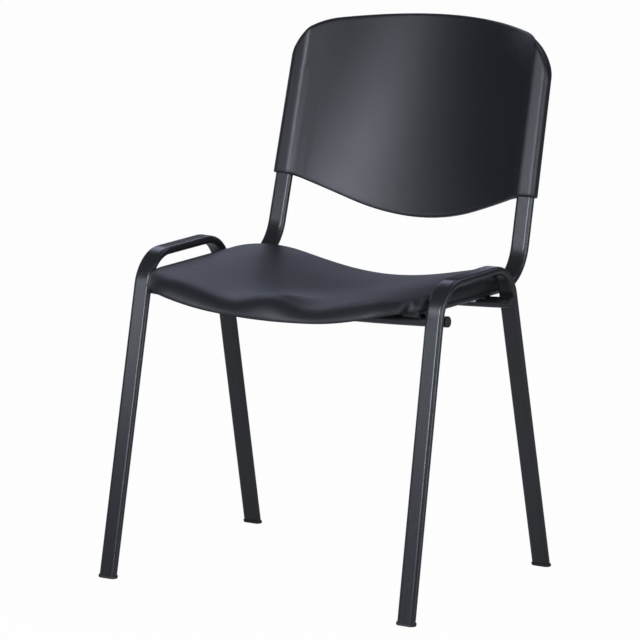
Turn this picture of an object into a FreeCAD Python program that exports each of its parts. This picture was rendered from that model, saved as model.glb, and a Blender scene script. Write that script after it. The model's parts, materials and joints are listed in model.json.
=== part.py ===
import FreeCAD, Part
import math
import os

# Stacking visitor chair: two bent leg frames, two back uprights, two cross tubes,
# and a moulded seat shell and back shell. Lengths are in millimetres, angles in degrees.
# The sitter faces -Y and +Z is up. Left is -X and right is +X, as seen from the front.

V = FreeCAD.Vector
UP = V(0, 0, 1)

# Main sizes, from which the frame and the back take their widths and heights
seat_half_width = 236.5
seat_ridge_height = 464.0     # the seat's side ridges, its highest part

# Flat-oval tube of the leg frames and back uprights
tube_width = 29.0
tube_thick = 12.0
tube_wall = 1.5

# Leg frames
hoop_above_ridge = 17.0       # centre line of the level top run above the seat's ridges
leg_outset = 24.5             # a foot's centre outside the seat's side
leg_lean_in = 0.93            # each frame leans towards the middle by this
front_foot_y = -203.5
rear_foot_y = 203.5
front_corner_y = -103.7       # where the front leg's line meets the top run's line
rear_corner_y = 94.3
leg_bend_radius = 56.0
hoop_height = seat_ridge_height + hoop_above_ridge
foot_half_spread = seat_half_width + leg_outset

# Floor feet
foot_flange = 4.0             # height of the flange under the tube's end
foot_overhang = 1.5           # flange beyond the tube
foot_insert = 24.0            # length of the stub inside the tube
foot_round = 1.2

# Round cross tubes under the rails
cross_diameter = 16.5
cross_wall = 1.5
cross_bow = 8.5               # the middle hangs this much below the ends
front_cross_below = 33.6      # centre line at the tube's ends below the seat's ridges
rear_cross_below = 37.0
cross_setback = 2.0           # tube's ends inside the legs' outer edges
front_cross_height = seat_ridge_height - front_cross_below
rear_cross_height = seat_ridge_height - rear_cross_below

# Back uprights: a rail under the seat, a bend, and a post behind the back
rail_inset = 18.8             # rail's centre line inside the seat's side
upright_lean_in = 1.3
upright_corner_y = 192.6      # where the rail's line meets the post's line
upright_bend_radius = 72.0
upright_above_ridge = 260.0   # post's end, inside the back's sleeve, above the seat's ridges
back_lean = 15.2
rail_front_y = -120.0
upright_half_spread = seat_half_width - rail_inset
upright_top = seat_ridge_height + upright_above_ridge

# Plugs in the open tube ends
plug_head = 3.0
plug_insert = 14.0
plug_clearance = 0.15

# Seat shell
seat_front_y = -185.0
seat_rear_y = 186.0
seat_front_corner = 70.0
seat_rear_corner = 80.0
seat_wall = 3.6
seat_dish_depth = 32.5        # the middle lies this much below the ridges
dish_inset_front = 38.5       # dish's edge inside the seat's side at the front
dish_inset_rear = -3.5
seat_rim_round = 9.0
pommel_height = 21.0          # rise between the thighs at the front
pommel_half_width = 50.0
pommel_length = 72.0
front_roll_radius = 38.0      # the front edge rolls down on this radius
front_roll_angle = 70.0
front_corner_share = 0.94     # share of the front corners that the roll follows
skirt_below_ridge = 18.8      # lower edge of the side skirt, at mid length
skirt_side_fall = 0.012       # it falls towards the rear by this share
skirt_dip = 27.8              # lower edge's drop in the middle of front and rear
skirt_dip_power = 3.0
cut_tolerance = 0.005         # surfaces nearer than this count as touching when the shell is cut
seat_dish_half_front = seat_half_width - dish_inset_front
seat_dish_half_rear = seat_half_width - dish_inset_rear
skirt_side_height = seat_ridge_height - skirt_below_ridge

# Fixings of the seat
seat_screw_ys = (-75.0, 62.0)
seat_screw_diameter = 5.0
seat_screw_reach = 9.0        # thread inside the boss
seat_boss_diameter = 15.0
hole_clearance = 0.5
screw_head_diameter = 10.0
screw_head_height = 3.2
recess_length = 4.4           # crossed slots for the driver
recess_width = 1.1
recess_depth = 1.8
washer_diameter = 13.0
washer_thick = 1.2
rib_thick = 2.6
rib_rail_gap = 1.5            # ribs stop this far above the rails
seat_notch_gap = 1.5          # clearance round the uprights where they leave under the seat

# Back shell, with lengths along the posts counted from the sleeves' lower ends
sleeve_above_ridge = 98.0     # the sleeves' lower ends above the seat's ridges
sleeve_half_width = 17.6      # post's centre line to the sleeve's outer edge
sleeve_front = 10.5           # sleeve's front ahead of the post's centre line
sleeve_rear = 10.5            # sleeve's rear behind it
sleeve_round = 7.5
sleeve_inner_wall = 7.0       # between the post and the sleeve's inner slope
sleeve_fit = 0.4              # clearance round the post
sleeve_ridge_inset = 10.5     # post's centre line to the ridge where the panel starts
ridge_round = 14.0
panel_depth_low = 43.7        # panel's middle behind the posts' plane, at the sleeves' ends
panel_depth_high = 69.8       # the same at the top of the panel
panel_wall = 4.0
panel_drop = 43.5             # lower edge's middle below the sleeves' ends
panel_top = 277.3             # top edge's middle above the sleeves' ends
panel_crown_share = 2.495     # radius of the top edge, as a share of the seat's half width
panel_corner_radius = 92.0    # curve from the top edge to the sleeves
panel_side_gap = 0.8          # the outline's straight sides clear the sleeves by this
panel_lower_share = 1.586     # radius of the lower edge's middle, as such a share
panel_knee_inset = 15.0       # its straight runs meet the sleeves' ends this far inside the posts
panel_knee_round = 120.0
panel_margin = 30.0           # spare height of the body before its outline is cut
rim_depth = 10.0              # turned-back rim, front to back
rim_wall = 4.0
rim_round = 2.5               # radius along the front edge
edge_on = 0.1                 # a face turned less than this towards a view is seen edge on
back_screw_above = 40.0       # screw above the sleeves' ends
back_screw_diameter = 4.0
back_screw_length = 13.0
sleeve_bottom = seat_ridge_height + sleeve_above_ridge
panel_crown_radius = seat_half_width * panel_crown_share
panel_lower_round = seat_half_width * panel_lower_share

# Weld beads
weld_radius = 2.6
weld_offset = 5.2             # bead's middle from the line of contact


# Common shapes

def flat_oval(width, thick, centre, across, through):
    """Closed flat-oval outline: two straight sides joined by two half circles."""
    flat = across * ((width - thick) / 2)
    half = through * (thick / 2)
    cap = across * (width / 2)
    low_left = centre - flat - half
    low_right = centre + flat - half
    high_right = centre + flat + half
    high_left = centre - flat + half
    return Part.Wire([
        Part.makeLine(low_left, low_right),
        Part.Arc(low_right, centre + cap, high_right).toShape(),
        Part.makeLine(high_right, high_left),
        Part.Arc(high_left, centre - cap, low_left).toShape(),
    ])


def rounded_path(points, radii):
    """Straight runs through the points, with an arc at each inner point."""
    edges = []
    start = points[0]
    for before, corner, after, radius in zip(points, points[1:], points[2:], radii):
        into = (before - corner).normalize()
        out = (after - corner).normalize()
        half_turn = (math.pi - into.getAngle(out)) / 2
        setback = radius * math.tan(half_turn)
        arc_start = corner + into * setback
        arc_end = corner + out * setback
        bisector = (into + out).normalize()
        arc_middle = corner + bisector * (radius / math.cos(half_turn) - radius)
        edges.append(Part.makeLine(start, arc_start))
        edges.append(Part.Arc(arc_start, arc_middle, arc_end).toShape())
        start = arc_end
    edges.append(Part.makeLine(start, points[-1]))
    return Part.Wire(edges)


def swept(path, profile):
    return path.makePipeShell([profile], True, False)


def flat_bar(points, radius, across, grow):
    """Flat-oval bar along the points, its wide side lying along across, grown all round."""
    path = rounded_path(points, [radius] * len(points[2:]))
    through = (points[1] - points[0]).normalize().cross(across).normalize()
    profile = flat_oval(tube_width + 2 * grow, tube_thick + 2 * grow, points[0], across, through)
    return swept(path, profile)


def flat_tube(points, radius, across):
    return flat_bar(points, radius, across, 0).cut(flat_bar(points, radius, across, -tube_wall))


def mirrored(shape):
    return shape.mirror(V(0, 0, 0), V(1, 0, 0))


def solid_of(shape):
    """The one solid of a boolean result."""
    return shape.Solids[0] if len(shape.Solids) == 1 else shape


def pan_screw(seat, out, diameter, head_diameter, length):
    """Pan-head screw: the head stands out from seat, the shank goes in, and the head has crossed slots."""
    top = seat + out * screw_head_height
    head = Part.makeCylinder(head_diameter / 2, screw_head_height, seat, out)
    rim = [edge for edge in head.Edges if edge.CenterOfMass.distanceToPoint(top) < screw_head_height / 9]
    shank = Part.makeCylinder(diameter / 2, length, seat, out * -1)
    screw = head.makeFillet(screw_head_height / 2, rim).fuse(shank)
    for along, across in ((recess_length, recess_width), (recess_width, recess_length)):
        slot = Part.makeBox(along, across, 2 * recess_depth, V(-along / 2, -across / 2, -recess_depth))
        slot.Placement = FreeCAD.Placement(top, FreeCAD.Rotation(UP, out))
        screw = screw.cut(slot)
    return solid_of(screw.removeSplitter())


# Leg frames

leg_tan = math.tan(math.radians(leg_lean_in))
leg_across = V(1, 0, leg_tan).normalize()


def leg_x(z):
    return foot_half_spread - z * leg_tan


def leg_y(foot_y, corner_y, z):
    return foot_y + (corner_y - foot_y) * z / hoop_height


def leg_point(foot_y, corner_y, z):
    return V(leg_x(z), leg_y(foot_y, corner_y, z), z)


def leg_frame():
    below = -tube_width
    tube = flat_tube([
        leg_point(front_foot_y, front_corner_y, below),
        V(leg_x(hoop_height), front_corner_y, hoop_height),
        V(leg_x(hoop_height), rear_corner_y, hoop_height),
        leg_point(rear_foot_y, rear_corner_y, below),
    ], leg_bend_radius, leg_across)
    reach = 4 * foot_half_spread
    under = Part.makeBox(reach, reach, reach, V(-reach / 2, -reach / 2, foot_flange - reach))
    return solid_of(tube.cut(under))


def floor_foot(foot_y, corner_y):
    """Flange on the floor with a stub that fills the leg's lower end."""
    along = leg_point(foot_y, corner_y, hoop_height) - leg_point(foot_y, corner_y, 0)
    along.normalize()
    slant = along.z
    through = along.cross(leg_across).normalize()
    flange_wire = flat_oval(tube_width + 2 * foot_overhang, tube_thick / slant + 2 * foot_overhang,
                            leg_point(foot_y, corner_y, 0), V(1, 0, 0), V(0, 1, 0))
    flange = Part.Face(flange_wire).extrude(along * (foot_flange / slant))
    lower_edges = [edge for edge in flange.Edges if edge.BoundBox.ZMax < foot_flange / 2]
    flange = flange.makeFillet(foot_round, lower_edges)
    stub_play = 2 * (tube_wall + plug_clearance)
    stub_start = leg_point(foot_y, corner_y, 0)
    stub_wire = flat_oval(tube_width - stub_play, tube_thick - stub_play, stub_start, leg_across, through)
    stub = Part.Face(stub_wire).extrude(along * (foot_insert + foot_flange))
    reach = 4 * foot_half_spread
    under = Part.makeBox(reach, reach, reach, V(-reach / 2, -reach / 2, foot_flange / 2 - reach))
    return solid_of(flange.fuse(stub.cut(under)).removeSplitter())


# Cross tubes

cross_radius = cross_diameter / 2


class CrossTube:
    """A bowed round tube that touches both leg frames."""

    def __init__(self, foot_y, corner_y, height, inward):
        self.height = height
        slope = math.atan2(corner_y - foot_y, hoop_height)
        offset = (tube_thick / 2 + cross_radius) / math.cos(slope)
        self.y = leg_y(foot_y, corner_y, height) + inward * offset
        self.end = leg_x(height) + tube_width / 2 - cross_setback
        self.bow_radius = (self.end ** 2 + cross_bow ** 2) / (2 * cross_bow)

    def z_at(self, x):
        middle = self.height - cross_bow
        return middle + self.bow_radius - math.sqrt(self.bow_radius ** 2 - x ** 2)

    def end_direction(self):
        """Direction out of the right-hand end."""
        rise = self.end / math.sqrt(self.bow_radius ** 2 - self.end ** 2)
        return V(1, 0, rise).normalize()

    def end_point(self):
        return V(self.end, self.y, self.height)

    def centre_line(self):
        right = self.end_point()
        left = V(-right.x, right.y, right.z)
        return Part.Wire([Part.Arc(left, V(0, self.y, self.height - cross_bow), right).toShape()])

    def swept_circle(self, radius):
        right = self.end_point()
        left = V(-right.x, right.y, right.z)
        out = self.end_direction()
        circle = Part.Wire([Part.makeCircle(radius, left, V(out.x, 0, -out.z))])
        return swept(self.centre_line(), circle)

    def solid(self):
        outer = self.swept_circle(cross_radius)
        return solid_of(outer.cut(self.swept_circle(cross_radius - cross_wall)))


front_cross = CrossTube(front_foot_y, front_corner_y, front_cross_height, 1)
rear_cross = CrossTube(rear_foot_y, rear_corner_y, rear_cross_height, -1)


def cross_plug(cross):
    """Domed plug in the right-hand end of a cross tube."""
    out = cross.end_direction()
    end = cross.end_point()
    head = Part.makeCylinder(cross_radius, plug_head, end, out)
    rim = [edge for edge in head.Edges if (edge.CenterOfMass - end).dot(out) > plug_head * 0.9]
    head = head.makeFillet(plug_head / 2, rim)
    stub_radius = cross_radius - cross_wall - plug_clearance
    stub = Part.makeCylinder(stub_radius, plug_insert, end - out * plug_insert, out)
    return solid_of(head.fuse(stub).removeSplitter())


# Back uprights

upright_tan = math.tan(math.radians(upright_lean_in))
upright_across = V(1, 0, upright_tan).normalize()
rail_contact = cross_radius + tube_thick / 2
front_rail_z = front_cross.z_at(upright_half_spread) + rail_contact
rear_rail_z = rear_cross.z_at(upright_half_spread) + rail_contact
rail_slope = (rear_rail_z - front_rail_z) / (rear_cross.y - front_cross.y)


def rail_z(y):
    """Height of the rail's centre line, which lies on the two cross tubes."""
    return front_rail_z + rail_slope * (y - front_cross.y)


upright_corner_z = rail_z(upright_corner_y)


def upright_x(z):
    return upright_half_spread - (z - upright_corner_z) * upright_tan


def post_y(z):
    return upright_corner_y + (z - upright_corner_z) * math.tan(math.radians(back_lean))


def post_point(z):
    return V(upright_x(z), post_y(z), z)


def rail_point(y):
    return V(upright_x(rail_z(y)), y, rail_z(y))


rail_along = (rail_point(1) - rail_point(0)).normalize()
rail_up = upright_across.cross(rail_along).normalize()


def back_upright():
    tube = flat_tube([rail_point(rail_front_y), rail_point(upright_corner_y), post_point(upright_top)],
                     upright_bend_radius, upright_across)
    for y in seat_screw_ys:
        tube = tube.cut(rail_cylinder(y, seat_screw_diameter + hole_clearance, -tube_thick, tube_thick))
    post_hole = post_cylinder(back_screw_above, back_screw_diameter + hole_clearance, 0, tube_thick)
    return solid_of(tube.cut(post_hole))


def rail_plug():
    """Cap on the rail's front end with a stub inside the tube."""
    end = rail_point(rail_front_y)
    cap_wire = flat_oval(tube_width, tube_thick, end, upright_across, rail_up)
    cap = Part.Face(cap_wire).extrude(rail_along * -plug_head)
    front_edges = [edge for edge in cap.Edges if edge.BoundBox.YMax < rail_front_y - plug_head * 0.9]
    cap = cap.makeFillet(plug_head / 3, front_edges)
    play = 2 * (tube_wall + plug_clearance)
    stub_wire = flat_oval(tube_width - play, tube_thick - play, end, upright_across, rail_up)
    stub = Part.Face(stub_wire).extrude(rail_along * plug_insert)
    return solid_of(cap.fuse(stub).removeSplitter())


def rail_cylinder(y, diameter, low, high):
    """Cylinder square to the rail at y, between two heights counted from its centre line."""
    return Part.makeCylinder(diameter / 2, high - low, rail_point(y) + rail_up * low, rail_up)


# Seat shell

def dish_share(x, y):
    """1 in the middle of the seat's dish, 0 on the side ridges."""
    along = (y - seat_front_y) / (seat_rear_y - seat_front_y)
    half = seat_dish_half_front + (seat_dish_half_rear - seat_dish_half_front) * along
    return max(0.0, 1 - (x / half) ** 2) ** 2


def front_line(x):
    """The seat's front edge in plan: straight, then drawn back round the corners."""
    past = abs(x) - (seat_half_width - seat_front_corner)
    share = min(max(past / seat_front_corner, 0.0), front_corner_share)
    return seat_front_y + seat_front_corner * (1 - math.sqrt(1 - share ** 2))


def front_drop(depth, inset):
    """Fall of the skin at a depth behind the front edge, where the seat rolls down."""
    radius = front_roll_radius - inset
    steepest = math.radians(front_roll_angle)
    into = front_roll_radius - depth
    turned = radius * math.sin(steepest)
    if into <= 0:
        return 0.0
    if into < turned:
        return radius - math.sqrt(radius ** 2 - into ** 2)
    return radius * (1 - math.cos(steepest)) + (into - turned) * math.tan(steepest)


def pommel_rise(x, y):
    behind = max(0.0, y - seat_front_y - front_roll_radius)
    return pommel_height * math.exp(-(x / pommel_half_width) ** 2 - (behind / pommel_length) ** 2)


def seat_height(x, y, inset):
    """Height of the seat's skin, or of the surface that lies inset below it."""
    dished = seat_ridge_height - seat_dish_depth * dish_share(x, y) + pommel_rise(x, y)
    return dished - inset - front_drop(y - front_line(x), inset)


def skirt_height(x, y):
    """Height of the skirt's lower edge."""
    share = min(abs(x) / seat_half_width, 1.0) ** skirt_dip_power
    return skirt_side_height - skirt_side_fall * y - skirt_dip * (1 - share) ** 2


def sheet(height, xs, ys):
    """Smooth surface through the heights over a grid."""
    surface = Part.BSplineSurface()
    surface.interpolate([[V(x, y, height(x, y)) for y in ys] for x in xs])
    return surface.toShape()


def steps(start, end, count):
    return [start + (end - start) * i / count for i in range(count + 1)]


def seat_plan(inset):
    """The seat's outline in plan as a face."""
    x = seat_half_width - inset
    front = seat_front_y + inset
    rear = seat_rear_y - inset
    front_r = seat_front_corner - inset
    rear_r = seat_rear_corner - inset
    slant = math.sqrt(0.5)
    corners = [(x, front, front_r, 1, -1), (x, rear, rear_r, 1, 1),
               (-x, rear, rear_r, -1, 1), (-x, front, front_r, -1, -1)]
    arcs = []
    for corner_x, corner_y, radius, side, end in corners:
        centre = V(corner_x - side * radius, corner_y - end * radius, 0)
        across = centre + V(side * radius, 0, 0)
        along = centre + V(0, end * radius, 0)
        middle = centre + V(side * radius * slant, end * radius * slant, 0)
        first, last = (along, across) if side * end < 0 else (across, along)
        arcs.append((first, middle, last))
    edges = []
    for number, (first, middle, last) in enumerate(arcs):
        edges.append(Part.Arc(first, middle, last).toShape())
        edges.append(Part.makeLine(last, arcs[(number + 1) % len(arcs)][0]))
    return Part.Face(Part.Wire(edges))


def seat_block(inset):
    """Everything below the seat's skin, inside its plan."""
    margin = seat_rim_round
    side = seat_half_width + margin
    corner = seat_half_width - seat_front_corner
    xs = steps(-side, -corner, 6) + steps(-corner, corner, 24)[1:] + steps(corner, side, 6)[1:]
    roll_end = seat_front_y + front_roll_radius
    ys = steps(seat_front_y - margin, roll_end, 9) + steps(roll_end, seat_rear_y + margin, 18)[1:]
    skin = sheet(lambda x, y: seat_height(x, y, inset), xs, ys)
    below = skin.extrude(UP * -seat_ridge_height / 2)
    column = seat_plan(inset).extrude(UP * 2 * seat_ridge_height)
    return below.common(column)


def skirt_cutter():
    """Everything below the skirt's lower edge."""
    margin = seat_rim_round
    xs = steps(-seat_half_width - margin, seat_half_width + margin, 16)
    ys = steps(seat_front_y - margin, seat_rear_y + margin, 4)
    return sheet(skirt_height, xs, ys).extrude(UP * -seat_ridge_height)


def seat_fixing(y):
    """Screw boss with its cross rib, standing on the right-hand rail."""
    seat_face = tube_thick / 2
    boss = rail_cylinder(y, seat_boss_diameter, seat_face, seat_face + seat_dish_depth)
    rib_low = seat_face + rib_rail_gap
    rib_length = 2 * tube_width
    centre = rail_point(y)
    corner = centre + rail_up * rib_low - rail_along * (rib_thick / 2) - upright_across * rib_length
    rib = Part.makeBox(2 * rib_length, rib_thick, seat_dish_depth, corner)
    return boss.fuse(rib)


def seat_rail_rib():
    """Rib along the right-hand rail that joins the two bosses."""
    first, last = seat_screw_ys
    overrun = tube_width
    low = rail_z(first) + tube_thick / 2 + rib_rail_gap
    corner = V(upright_half_spread - rib_thick / 2, first - overrun, low)
    return Part.makeBox(rib_thick, last - first + 2 * overrun, seat_dish_depth, corner)


def seat_shell():
    block = seat_block(0)
    skin = max(block.Faces, key=lambda face: face.CenterOfMass.z)
    block = block.makeFillet(seat_rim_round, skin.OuterWire.Edges)
    shell = block.cut([seat_block(seat_wall)], cut_tolerance)
    below = seat_rail_rib()
    for y in seat_screw_ys:
        below = below.fuse(seat_fixing(y))
    for side in (below, mirrored(below)):
        shell = shell.fuse(side.common(block))
    notch_start = rail_point(max(seat_screw_ys) + tube_width)
    notch = flat_bar([notch_start, rail_point(upright_corner_y), post_point(sleeve_bottom)],
                     upright_bend_radius, upright_across, seat_notch_gap)
    for cutter in (skirt_cutter(), notch, mirrored(notch)):
        shell = shell.cut([cutter], cut_tolerance)
    for y in seat_screw_ys:
        hole = rail_cylinder(y, seat_screw_diameter, 0, tube_thick / 2 + seat_screw_reach)
        shell = shell.cut(hole).cut(mirrored(hole))
    return solid_of(shell)


def seat_screw(y):
    """Screw from below, through the rail into the boss."""
    seat = rail_point(y) - rail_up * (tube_thick / 2 + washer_thick)
    return pan_screw(seat, rail_up * -1, seat_screw_diameter, screw_head_diameter,
                     washer_thick + tube_thick + seat_screw_reach)


def seat_washer(y):
    low = -tube_thick / 2 - washer_thick
    disc = rail_cylinder(y, washer_diameter, low, low + washer_thick)
    return disc.cut(rail_cylinder(y, seat_screw_diameter, low, low + washer_thick))


# Back shell, drawn in the plane of the posts: x across, s up along it, d behind it

back_sin = math.sin(math.radians(back_lean))
back_cos = math.cos(math.radians(back_lean))


def back_point(x, s, d):
    return V(x, post_y(sleeve_bottom) + s * back_sin + d * back_cos,
             sleeve_bottom + s * back_cos - d * back_sin)


def post_x(s):
    return upright_x(sleeve_bottom + s * back_cos)


def panel_depth(s):
    return panel_depth_low + (panel_depth_high - panel_depth_low) * s / panel_top


behind_back = back_point(0, 0, 1) - back_point(0, 0, 0)
up_back = back_point(0, 1, 0) - back_point(0, 0, 0)


class BackSection:
    """Section across the posts at s: hollow panel between two flat-fronted sleeves."""

    def __init__(self, s):
        self.s = s
        post = post_x(s)
        sag = panel_depth(s) + sleeve_front
        ridge = post - sleeve_ridge_inset
        self.radius = (ridge ** 2 + sag ** 2) / (2 * sag)
        self.centre_d = panel_depth(s) - self.radius
        self.round_d = ridge_round - sleeve_front
        self.round_x = math.sqrt((self.radius + ridge_round) ** 2 - (self.round_d - self.centre_d) ** 2)
        self.outer_x = post + sleeve_half_width
        self.inner_x = post - tube_width / 2 - sleeve_fit - sleeve_inner_wall
        self.panel_x = self.inner_x - sleeve_rear

    def at(self, x, d):
        return back_point(x, self.s, d)

    def panel_edge(self, sign):
        """Where the panel's front runs into the rounded ridge."""
        share = self.radius / (self.radius + ridge_round)
        return self.at(sign * self.round_x * share, self.centre_d + (self.round_d - self.centre_d) * share)

    def sleeve(self, sign):
        """One sleeve, from the panel over the ridge and round the outer side to the rear."""
        to_panel = V(-self.round_x, self.centre_d - self.round_d, 0).normalize()
        to_top = (to_panel + V(0, -1, 0)).normalize()
        ridge_top = self.at(sign * (self.round_x + to_top.x * ridge_round),
                            self.round_d + to_top.y * ridge_round)
        flat_x = self.outer_x - sleeve_round
        slant = sleeve_round * (1 - math.sqrt(0.5))
        corner_x = self.outer_x - slant
        flat_start = self.at(sign * self.round_x, -sleeve_front)
        flat_end = self.at(sign * flat_x, -sleeve_front)
        side_start = self.at(sign * self.outer_x, sleeve_round - sleeve_front)
        side_end = self.at(sign * self.outer_x, sleeve_rear - sleeve_round)
        rear_start = self.at(sign * flat_x, sleeve_rear)
        return [
            Part.Arc(self.panel_edge(sign), ridge_top, flat_start).toShape(),
            Part.makeLine(flat_start, flat_end),
            Part.Arc(flat_end, self.at(sign * corner_x, slant - sleeve_front), side_start).toShape(),
            Part.makeLine(side_start, side_end),
            Part.Arc(side_end, self.at(sign * corner_x, sleeve_rear - slant), rear_start).toShape(),
            Part.makeLine(rear_start, self.at(sign * self.inner_x, sleeve_rear)),
        ]

    def rear(self, wall):
        """Slopes of the sleeves and the panel's rear face, from right to left."""
        panel_d = self.centre_d + math.sqrt((self.radius + wall) ** 2 - self.panel_x ** 2)
        right = self.at(self.panel_x, panel_d)
        left = self.at(-self.panel_x, panel_d)
        return [
            Part.makeLine(self.at(self.inner_x, sleeve_rear), right),
            Part.Arc(right, self.at(0, panel_depth(self.s) + wall), left).toShape(),
            Part.makeLine(left, self.at(-self.inner_x, sleeve_rear)),
        ]

    def body(self):
        front = Part.Arc(self.panel_edge(-1), self.at(0, panel_depth(self.s)), self.panel_edge(1)).toShape()
        return Part.Wire([front] + self.sleeve(1) + self.rear(rim_depth) + self.sleeve(-1)[::-1])

    def hollow(self):
        """Space behind the panel, inside the rim."""
        far = 2 * panel_depth_high
        right = self.at(self.inner_x, sleeve_rear)
        left = self.at(-self.inner_x, sleeve_rear)
        right_far = self.at(self.inner_x, far)
        left_far = self.at(-self.inner_x, far)
        return Part.Wire(self.rear(panel_wall) + [Part.makeLine(left, left_far),
                                                  Part.makeLine(left_far, right_far),
                                                  Part.makeLine(right_far, right)])


back_low = BackSection(-panel_drop - panel_margin)
back_high = BackSection(panel_top + panel_margin)


def back_outline(inset):
    """The back's outline seen square to the posts, as a block that reaches through it."""

    def at(x, s):
        return back_point(x, s, -2 * panel_depth_high)

    # Corner arcs that touch the crown arc and the straight sides
    lean = post_x(0) - post_x(1)
    stretch = math.sqrt(1 + lean ** 2)
    crown = panel_crown_radius - inset
    corner = panel_corner_radius - inset
    side_x = post_x(0) + sleeve_half_width + panel_side_gap - inset * stretch
    crown_s = panel_top - panel_crown_radius
    level_x = side_x - corner * stretch
    linear = level_x * lean + crown_s
    constant = level_x ** 2 + crown_s ** 2 - (crown - corner) ** 2
    corner_s = (linear + math.sqrt(linear ** 2 - stretch ** 2 * constant)) / stretch ** 2
    corner_x = level_x - lean * corner_s
    to_side = V(1, lean, 0).normalize()
    to_crown = V(corner_x, corner_s - crown_s, 0).normalize()
    to_middle = (to_side + to_crown).normalize()

    def on_corner(sign, way):
        return at(sign * (corner_x + way.x * corner), corner_s + way.y * corner)

    def corner_arc(sign):
        start, middle, end = [on_corner(sign, way) for way in (to_side, to_middle, to_crown)]
        return Part.Arc(start, middle, end).toShape()

    # Lower edge: two straight runs from the sleeves' ends that touch a wide arc between them
    knee_x = post_x(0) - panel_knee_inset
    spread = 2 * panel_lower_round - panel_drop
    half_slope = math.atan((knee_x - math.sqrt(knee_x ** 2 - spread * panel_drop)) / spread)
    apex = inset - knee_x * math.tan(2 * half_slope)
    left_end = at(lean * inset - side_x, inset)
    right_end = at(side_x - lean * inset, inset)
    lower = rounded_path([left_end, at(-knee_x, inset), at(0, apex), at(knee_x, inset), right_end],
                         [panel_knee_round, panel_lower_round, panel_knee_round])
    crown_arc = Part.Arc(on_corner(1, to_crown), at(0, panel_top - inset), on_corner(-1, to_crown)).toShape()
    edges = lower.Edges + [Part.makeLine(right_end, on_corner(1, to_side)), corner_arc(1), crown_arc,
                           corner_arc(-1), Part.makeLine(on_corner(-1, to_side), left_end)]
    return Part.Face(Part.Wire(edges)).extrude(behind_back * 5 * panel_depth_high)


def front_edges(body):
    """Edges between the back's front faces and the faces that its outline cuts above and below."""
    cut_edges = []
    front_faces = []
    for face in body.Faces:
        u_low, u_high, v_low, v_high = face.ParameterRange
        facing = face.normalAt((u_low + u_high) / 2, (v_low + v_high) / 2)
        if abs(facing.dot(behind_back)) > edge_on:
            front_faces += [face] if facing.dot(behind_back) < 0 else []
        elif abs(facing.dot(up_back)) > edge_on:
            cut_edges += face.Edges
    edges = [edge for face in front_faces for edge in face.Edges]
    return [edge for edge in edges if any(edge.isSame(other) for other in cut_edges)]


def post_cylinder(s, diameter, low, high):
    """Cylinder square to the right-hand post at s, between two depths behind its centre line."""
    return Part.makeCylinder(diameter / 2, high - low, back_point(post_x(s), s, low), behind_back)


def sleeve_pocket():
    """Space for the right-hand post, up to its end."""
    start = post_point(sleeve_bottom - tube_width)
    end = post_point(upright_top + plug_head)
    through = (end - start).normalize().cross(upright_across).normalize()
    play = 2 * sleeve_fit
    outline = flat_oval(tube_width + play, tube_thick + play, start, upright_across, through)
    return Part.Face(outline).extrude(end - start)


def back_shell():
    body = Part.makeLoft([back_low.body(), back_high.body()], True, True).common(back_outline(0))
    body = solid_of(body)
    body = body.makeFillet(rim_round, front_edges(body))
    hollow = Part.makeLoft([back_low.hollow(), back_high.hollow()], True, True)
    shell = body.cut(hollow.common(back_outline(rim_wall)))
    pocket = sleeve_pocket()
    hole = post_cylinder(back_screw_above, back_screw_diameter, 0, tube_width)
    for cutter in (pocket, mirrored(pocket), hole, mirrored(hole)):
        shell = shell.cut(cutter)
    return solid_of(shell)


def back_screw():
    """Screw from behind, through the sleeve's wall into the post."""
    seat = back_point(post_x(back_screw_above), back_screw_above, sleeve_rear)
    return pan_screw(seat, behind_back, back_screw_diameter, 2 * back_screw_diameter,
                     back_screw_length - screw_head_height)


# Weld beads

def weld_pair(contact, normal, along, cross, plate):
    """Two beads in the hollows beside the line where a cross tube touches a flat face."""
    length = tube_width - tube_thick
    beads = []
    for sign in (-1, 1):
        middle = contact + along * (sign * weld_offset) + normal * (weld_radius / 2)
        rod = Part.makeCylinder(weld_radius, length, middle - V(length / 2, 0, 0), V(1, 0, 0))
        bead = rod.cut(cross.swept_circle(cross_radius)).cut(plate)
        beads.append(max(bead.Solids, key=lambda solid: solid.Volume))
    return beads


def frame_welds(leg, upright):
    beads = []
    for cross, foot_y, corner_y, inward in ((front_cross, front_foot_y, front_corner_y, 1),
                                            (rear_cross, rear_foot_y, rear_corner_y, -1)):
        x = leg_x(cross.height)
        up_leg = V(0, corner_y - foot_y, hoop_height).normalize()
        normal = V(0, up_leg.z, -up_leg.y) * inward
        contact = V(x, cross.y, cross.z_at(x)) - normal * cross_radius
        beads += weld_pair(contact, normal, up_leg, cross, leg)
        top = V(upright_half_spread, cross.y, cross.z_at(upright_half_spread)) + rail_up * cross_radius
        beads += weld_pair(top, rail_up * -1, rail_along, cross, upright)
    return Part.makeCompound(beads + [mirrored(bead) for bead in beads])


# The whole chair

def both(name, shape):
    return {"right_" + name: shape, "left_" + name: mirrored(shape)}


def group(shapes):
    """Separate solids on the right and their mirror images, in one node."""
    return Part.makeCompound(shapes + [mirrored(shape) for shape in shapes])


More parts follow.
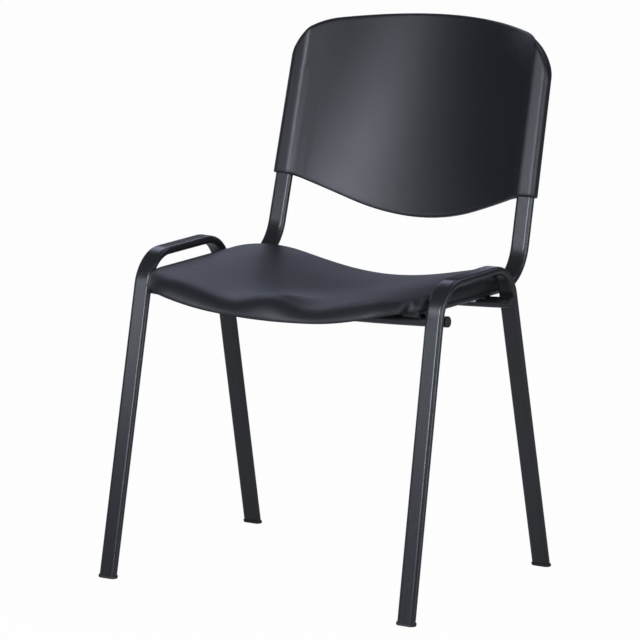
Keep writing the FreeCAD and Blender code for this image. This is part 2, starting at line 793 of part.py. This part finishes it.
def chair():
    leg = leg_frame()
    upright = back_upright()
    nodes = {"seat_shell": seat_shell(), "back_shell": back_shell()}
    nodes.update(both("leg_frame", leg))
    nodes.update(both("back_upright", upright))
    nodes.update(both("rail_plug", rail_plug()))
    for end, cross, foot_y, corner_y in (("front", front_cross, front_foot_y, front_corner_y),
                                         ("rear", rear_cross, rear_foot_y, rear_corner_y)):
        nodes[end + "_cross_tube"] = cross.solid()
        for name, shape in both("cross_plug", cross_plug(cross)).items():
            nodes[end + "_" + name] = shape
        for name, shape in both("foot", floor_foot(foot_y, corner_y)).items():
            nodes[end + "_" + name] = shape
    nodes["frame_welds"] = frame_welds(leg, upright)
    nodes["seat_screws"] = group([seat_screw(y) for y in seat_screw_ys])
    nodes["seat_washers"] = group([seat_washer(y) for y in seat_screw_ys])
    nodes["back_screws"] = group([back_screw()])
    return nodes


def write(nodes):
    """One file per node, with the origin on the floor under the middle of the chair's box."""
    os.makedirs("parts", exist_ok=True)
    box = FreeCAD.BoundBox()
    for shape in nodes.values():
        box.add(shape.optimalBoundingBox())
    shift = V(-box.Center.x, -box.Center.y, -box.ZMin)
    print("box", [round(v, 2) for v in (box.XLength, box.YLength, box.ZLength)], "shift", shift)
    for name, shape in nodes.items():
        placed = shape.copy()
        placed.translate(shift)
        print(name, placed.ShapeType, placed.isValid(), len(placed.Solids), round(placed.Volume, 1))
        placed.exportStep("parts/" + name + ".step")


write(chair())
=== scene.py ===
import json
import math

import bpy
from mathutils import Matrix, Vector

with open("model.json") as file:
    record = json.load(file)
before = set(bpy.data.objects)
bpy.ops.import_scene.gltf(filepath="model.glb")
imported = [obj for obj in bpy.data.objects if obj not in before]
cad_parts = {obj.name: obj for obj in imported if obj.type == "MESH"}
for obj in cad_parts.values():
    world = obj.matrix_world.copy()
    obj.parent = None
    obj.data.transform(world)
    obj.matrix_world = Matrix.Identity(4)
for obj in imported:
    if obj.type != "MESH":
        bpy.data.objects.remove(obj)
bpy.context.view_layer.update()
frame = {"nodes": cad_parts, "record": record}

# Lengths are in metres and angles in degrees.
# Azimuth 0 is straight in front of the chair and grows towards the right, as seen from there.

# Camera
camera_target = Vector((-0.0105, -0.0828, 0.3878))
camera_azimuth = 31.61
camera_elevation = 11.18
camera_distance = 6.363
camera_lens = 238.4           # in millimetres, as the sensor's width is
camera_sensor = 36.0

# Soft boxes: azimuth, elevation, distance from the target, width, height, watts
light_target = Vector((0.0, 0.0, 0.5))
front_boxes = {
    "front": (-4, 24, 2.0, 0.5, 0.45, 14.5),
    "front_low": (-3, 6, 2.0, 0.6, 0.45, 12.0),
    "front_left": (-20, 24, 2.0, 0.5, 0.45, 3.0),
    "front_turned": (16, 24, 2.0, 0.45, 0.45, 3.0),
    "front_right": (44, 16, 2.4, 0.8, 0.9, 8.5),
    "left": (-36, 9, 2.0, 0.6, 0.6, 4.0),
    "left_side": (-108, 4, 2.2, 0.5, 1.2, 3.0),
    "right_side": (78, 8, 2.2, 0.5, 1.2, 15.0),
    "right_rear": (105, 8, 2.2, 0.5, 1.2, 4.0),
}
rear_boxes = {
    "rear_low": (-156, 9, 2.2, 1.0, 0.7, 2.0),
    "rear_left": (-138, 36, 2.2, 1.0, 1.0, 5.5),
    "rear_right": (150, 45, 2.2, 1.2, 1.2, 6.0),
}
front_light = (0.92, 0.975, 1.10)
rear_light = (0.88, 0.95, 1.25)

# Room and floor
room_level = 0.08             # grey of the room that lights the chair from all round
room_mirrored = 0.0           # share of white in the room as the chair mirrors it
floor_size = 60.0
floor_grey = 0.5
floor_mirrored = 0.1          # share of white in the floor as the chair mirrors it
floor_shadow = 0.02           # share of the floor's own shading in the white that the camera sees

# Surface colours, linear
coat_colour = (0.013, 0.0138, 0.0155)
back_colour = (0.0080, 0.0086, 0.0112)
seat_colour = (0.0060, 0.0064, 0.0080)
trim_colour = (0.011, 0.011, 0.012)
steel_colour = (0.36, 0.36, 0.37)

# The two shells: how soft their edges are, and the roughness of their smoothest spots
back_edge = 0.009
seat_edge = 0.010
edge_samples = 8
back_roughness = 0.36
seat_roughness = 0.48
shell_roughness_range = 0.07

# Relief of the surfaces, from hollow to peak
peel_height = 0.00005
speck_height = 0.00002
grain_height = 0.00005
pore_height = 0.00002
spark_height = 0.00008
cloud_height = 0.00003


def direction(azimuth, elevation):
    """Unit vector from the chair towards a place round it."""
    turn = math.radians(azimuth)
    rise = math.radians(elevation)
    return Vector((math.sin(turn) * math.cos(rise), -math.cos(turn) * math.cos(rise), math.sin(rise)))


def placed(obj, target, azimuth, elevation, distance):
    """Puts a lamp or camera round a target and turns it to look there."""
    way = direction(azimuth, elevation)
    obj.location = target + way * distance
    obj.rotation_euler = (-way).to_track_quat("-Z", "Y").to_euler()
    bpy.context.scene.collection.objects.link(obj)


# Materials

class Surface:
    """A material with its main shader and a short way to add and join nodes."""

    def __init__(self, name):
        self.material = bpy.data.materials.new(name)
        self.material.use_nodes = True
        self.tree = self.material.node_tree
        self.shader = self.tree.nodes["Principled BSDF"]
        self.place = self.tree.nodes.new("ShaderNodeTexCoord").outputs["Object"]

    def add(self, kind, **values):
        """New node, with values for its inputs. An underscore stands for a space in an input's name."""
        node = self.tree.nodes.new(kind)
        for name, value in values.items():
            node.inputs[name.replace("_", " ")].default_value = value
        return node

    def join(self, output, target):
        self.tree.links.new(output, target)

    def noise(self, scale, detail):
        node = self.add("ShaderNodeTexNoise", Scale=scale, Detail=detail)
        self.join(self.place, node.inputs["Vector"])
        return node.outputs["Fac"]

    def cells(self, scale):
        node = self.add("ShaderNodeTexVoronoi", Scale=scale)
        node.feature = "SMOOTH_F1"
        self.join(self.place, node.inputs["Vector"])
        return node.outputs["Distance"]

    def colour(self, source, base, spread):
        """Base colour, a little darker and lighter along a pattern."""
        node = self.tree.nodes.new("ShaderNodeValToRGB")
        for element, share in zip(node.color_ramp.elements, (1 - spread, 1 + spread)):
            element.color = [part * share for part in base] + [1]
        self.join(source, node.inputs["Fac"])
        self.join(node.outputs["Color"], self.shader.inputs["Base Color"])

    def roughness(self, source, low, high):
        """Roughness between two values along a pattern."""
        node = self.add("ShaderNodeMapRange", To_Min=low, To_Max=high)
        self.join(source, node.inputs["Value"])
        self.join(node.outputs["Result"], self.shader.inputs["Roughness"])

    def soft_edges(self, radius):
        """Surface direction with every edge rounded off."""
        node = self.add("ShaderNodeBevel", Radius=radius)
        node.samples = edge_samples
        return node.outputs["Normal"]

    def bumps(self, layers, normal=None):
        """Layers of relief over a surface direction, each a pattern with its height."""
        for source, height in layers:
            node = self.add("ShaderNodeBump", Distance=height)
            self.join(source, node.inputs["Height"])
            if normal:
                self.join(normal, node.inputs["Normal"])
            normal = node.outputs["Normal"]
        self.join(normal, self.shader.inputs["Normal"])


def powder_coat():
    """Satin black powder coat: faint orange peel over the whole tube, with fine specks."""
    surface = Surface("powder_coat")
    peel = surface.noise(scale=420, detail=2)
    specks = surface.noise(scale=2600, detail=1)
    surface.colour(surface.noise(scale=60, detail=3), coat_colour, spread=0.12)
    surface.roughness(specks, low=0.24, high=0.32)
    surface.bumps([(peel, peel_height), (specks, speck_height)])
    return surface.material


def moulded_shell(name, colour, edge, smoothest):
    """Black polypropylene with the fine leathery grain of an etched mould."""
    surface = Surface(name)
    grain = surface.cells(scale=1100)
    pores = surface.noise(scale=3200, detail=2)
    surface.colour(surface.noise(scale=14, detail=4), colour, spread=0.10)
    patches = surface.noise(scale=9, detail=3)
    surface.roughness(patches, low=smoothest, high=smoothest + shell_roughness_range)
    surface.bumps([(grain, grain_height), (pores, pore_height)], surface.soft_edges(edge))
    return surface.material


def trim_plastic():
    """Plugs and feet: duller black plastic with a rough sparked texture."""
    surface = Surface("trim_plastic")
    spark = surface.noise(scale=1800, detail=4)
    surface.colour(surface.noise(scale=120, detail=3), trim_colour, spread=0.2)
    surface.roughness(spark, low=0.48, high=0.66)
    surface.bumps([(spark, spark_height)])
    return surface.material


def plated_steel():
    """Zinc-plated screws and washers, slightly clouded."""
    surface = Surface("plated_steel")
    cloud = surface.noise(scale=500, detail=4)
    surface.colour(cloud, steel_colour, spread=0.25)
    surface.roughness(surface.noise(scale=2400, detail=2), low=0.26, high=0.44)
    surface.shader.inputs["Metallic"].default_value = 1.0
    surface.bumps([(cloud, cloud_height)])
    return surface.material


slot_materials = {
    "frame": powder_coat(),
    "trim": trim_plastic(),
    "fastener": plated_steel(),
}
shell_materials = {
    "seat_shell": moulded_shell("moulded_seat", seat_colour, seat_edge, seat_roughness),
    "back_shell": moulded_shell("moulded_back", back_colour, back_edge, back_roughness),
}
for subpart in frame["record"]["subparts"]:
    node = subpart["node"]
    mesh = frame["nodes"][node].data
    mesh.materials.clear()
    mesh.materials.append(shell_materials.get(node) or slot_materials[subpart["material_slot"]])


# Floor, white to the camera but with the chair's faint shadow

def grey(level):
    return (level, level, level, 1)


def whitened(tree, surface, camera_share, mirror_share):
    """Mixes a shader with plain white, by one share for camera rays and another for mirrored rays."""
    white = tree.nodes.new("ShaderNodeEmission")
    rays = tree.nodes.new("ShaderNodeLightPath")
    total = None
    for ray, share in {"Is Camera Ray": camera_share, "Is Glossy Ray": mirror_share}.items():
        step = tree.nodes.new("ShaderNodeMath")
        step.operation = "MULTIPLY_ADD"
        step.inputs[1].default_value = share
        step.inputs[2].default_value = 0
        tree.links.new(rays.outputs[ray], step.inputs[0])
        if total:
            tree.links.new(total, step.inputs[2])
        total = step.outputs["Value"]
    mix = tree.nodes.new("ShaderNodeMixShader")
    tree.links.new(total, mix.inputs["Fac"])
    tree.links.new(surface, mix.inputs[1])
    tree.links.new(white.outputs["Emission"], mix.inputs[2])
    return mix.outputs["Shader"]


def pale_floor():
    """Matt grey paint that the camera sees as white."""
    material = bpy.data.materials.new("pale_floor")
    material.use_nodes = True
    tree = material.node_tree
    tree.nodes.clear()
    paint = tree.nodes.new("ShaderNodeBsdfDiffuse")
    paint.inputs["Color"].default_value = grey(floor_grey)
    output = tree.nodes.new("ShaderNodeOutputMaterial")
    shown = whitened(tree, paint.outputs["BSDF"], 1 - floor_shadow, floor_mirrored)
    tree.links.new(shown, output.inputs["Surface"])
    return material


bpy.ops.mesh.primitive_plane_add(size=floor_size)
floor = bpy.context.object
floor.name = "floor"
floor.data.materials.append(pale_floor())


# Room and lamps

def white_room():
    """Dim even light from all round, in front of a white background."""
    world = bpy.data.worlds.new("room")
    world.use_nodes = True
    tree = world.node_tree
    tree.nodes.clear()
    light = tree.nodes.new("ShaderNodeBackground")
    light.inputs["Color"].default_value = grey(room_level)
    output = tree.nodes.new("ShaderNodeOutputWorld")
    shown = whitened(tree, light.outputs["Background"], 1, room_mirrored)
    tree.links.new(shown, output.inputs["Surface"])
    return world


def soft_box(name, colour, azimuth, elevation, distance, width, height, watts):
    """Area lamp that looks at the chair."""
    lamp = bpy.data.lights.new(name, "AREA")
    lamp.shape = "RECTANGLE"
    lamp.size = width
    lamp.size_y = height
    lamp.energy = watts
    lamp.color = colour
    placed(bpy.data.objects.new(name, lamp), light_target, azimuth, elevation, distance)


bpy.context.scene.world = white_room()
for boxes, colour in ((front_boxes, front_light), (rear_boxes, rear_light)):
    for name, values in boxes.items():
        soft_box(name, colour, *values)


# Camera and view

camera = bpy.data.cameras.new("camera")
camera.lens = camera_lens
camera.sensor_width = camera_sensor
camera_object = bpy.data.objects.new("camera", camera)
placed(camera_object, camera_target, camera_azimuth, camera_elevation, camera_distance)
bpy.context.scene.camera = camera_object
bpy.context.scene.view_settings.view_transform = "Standard"
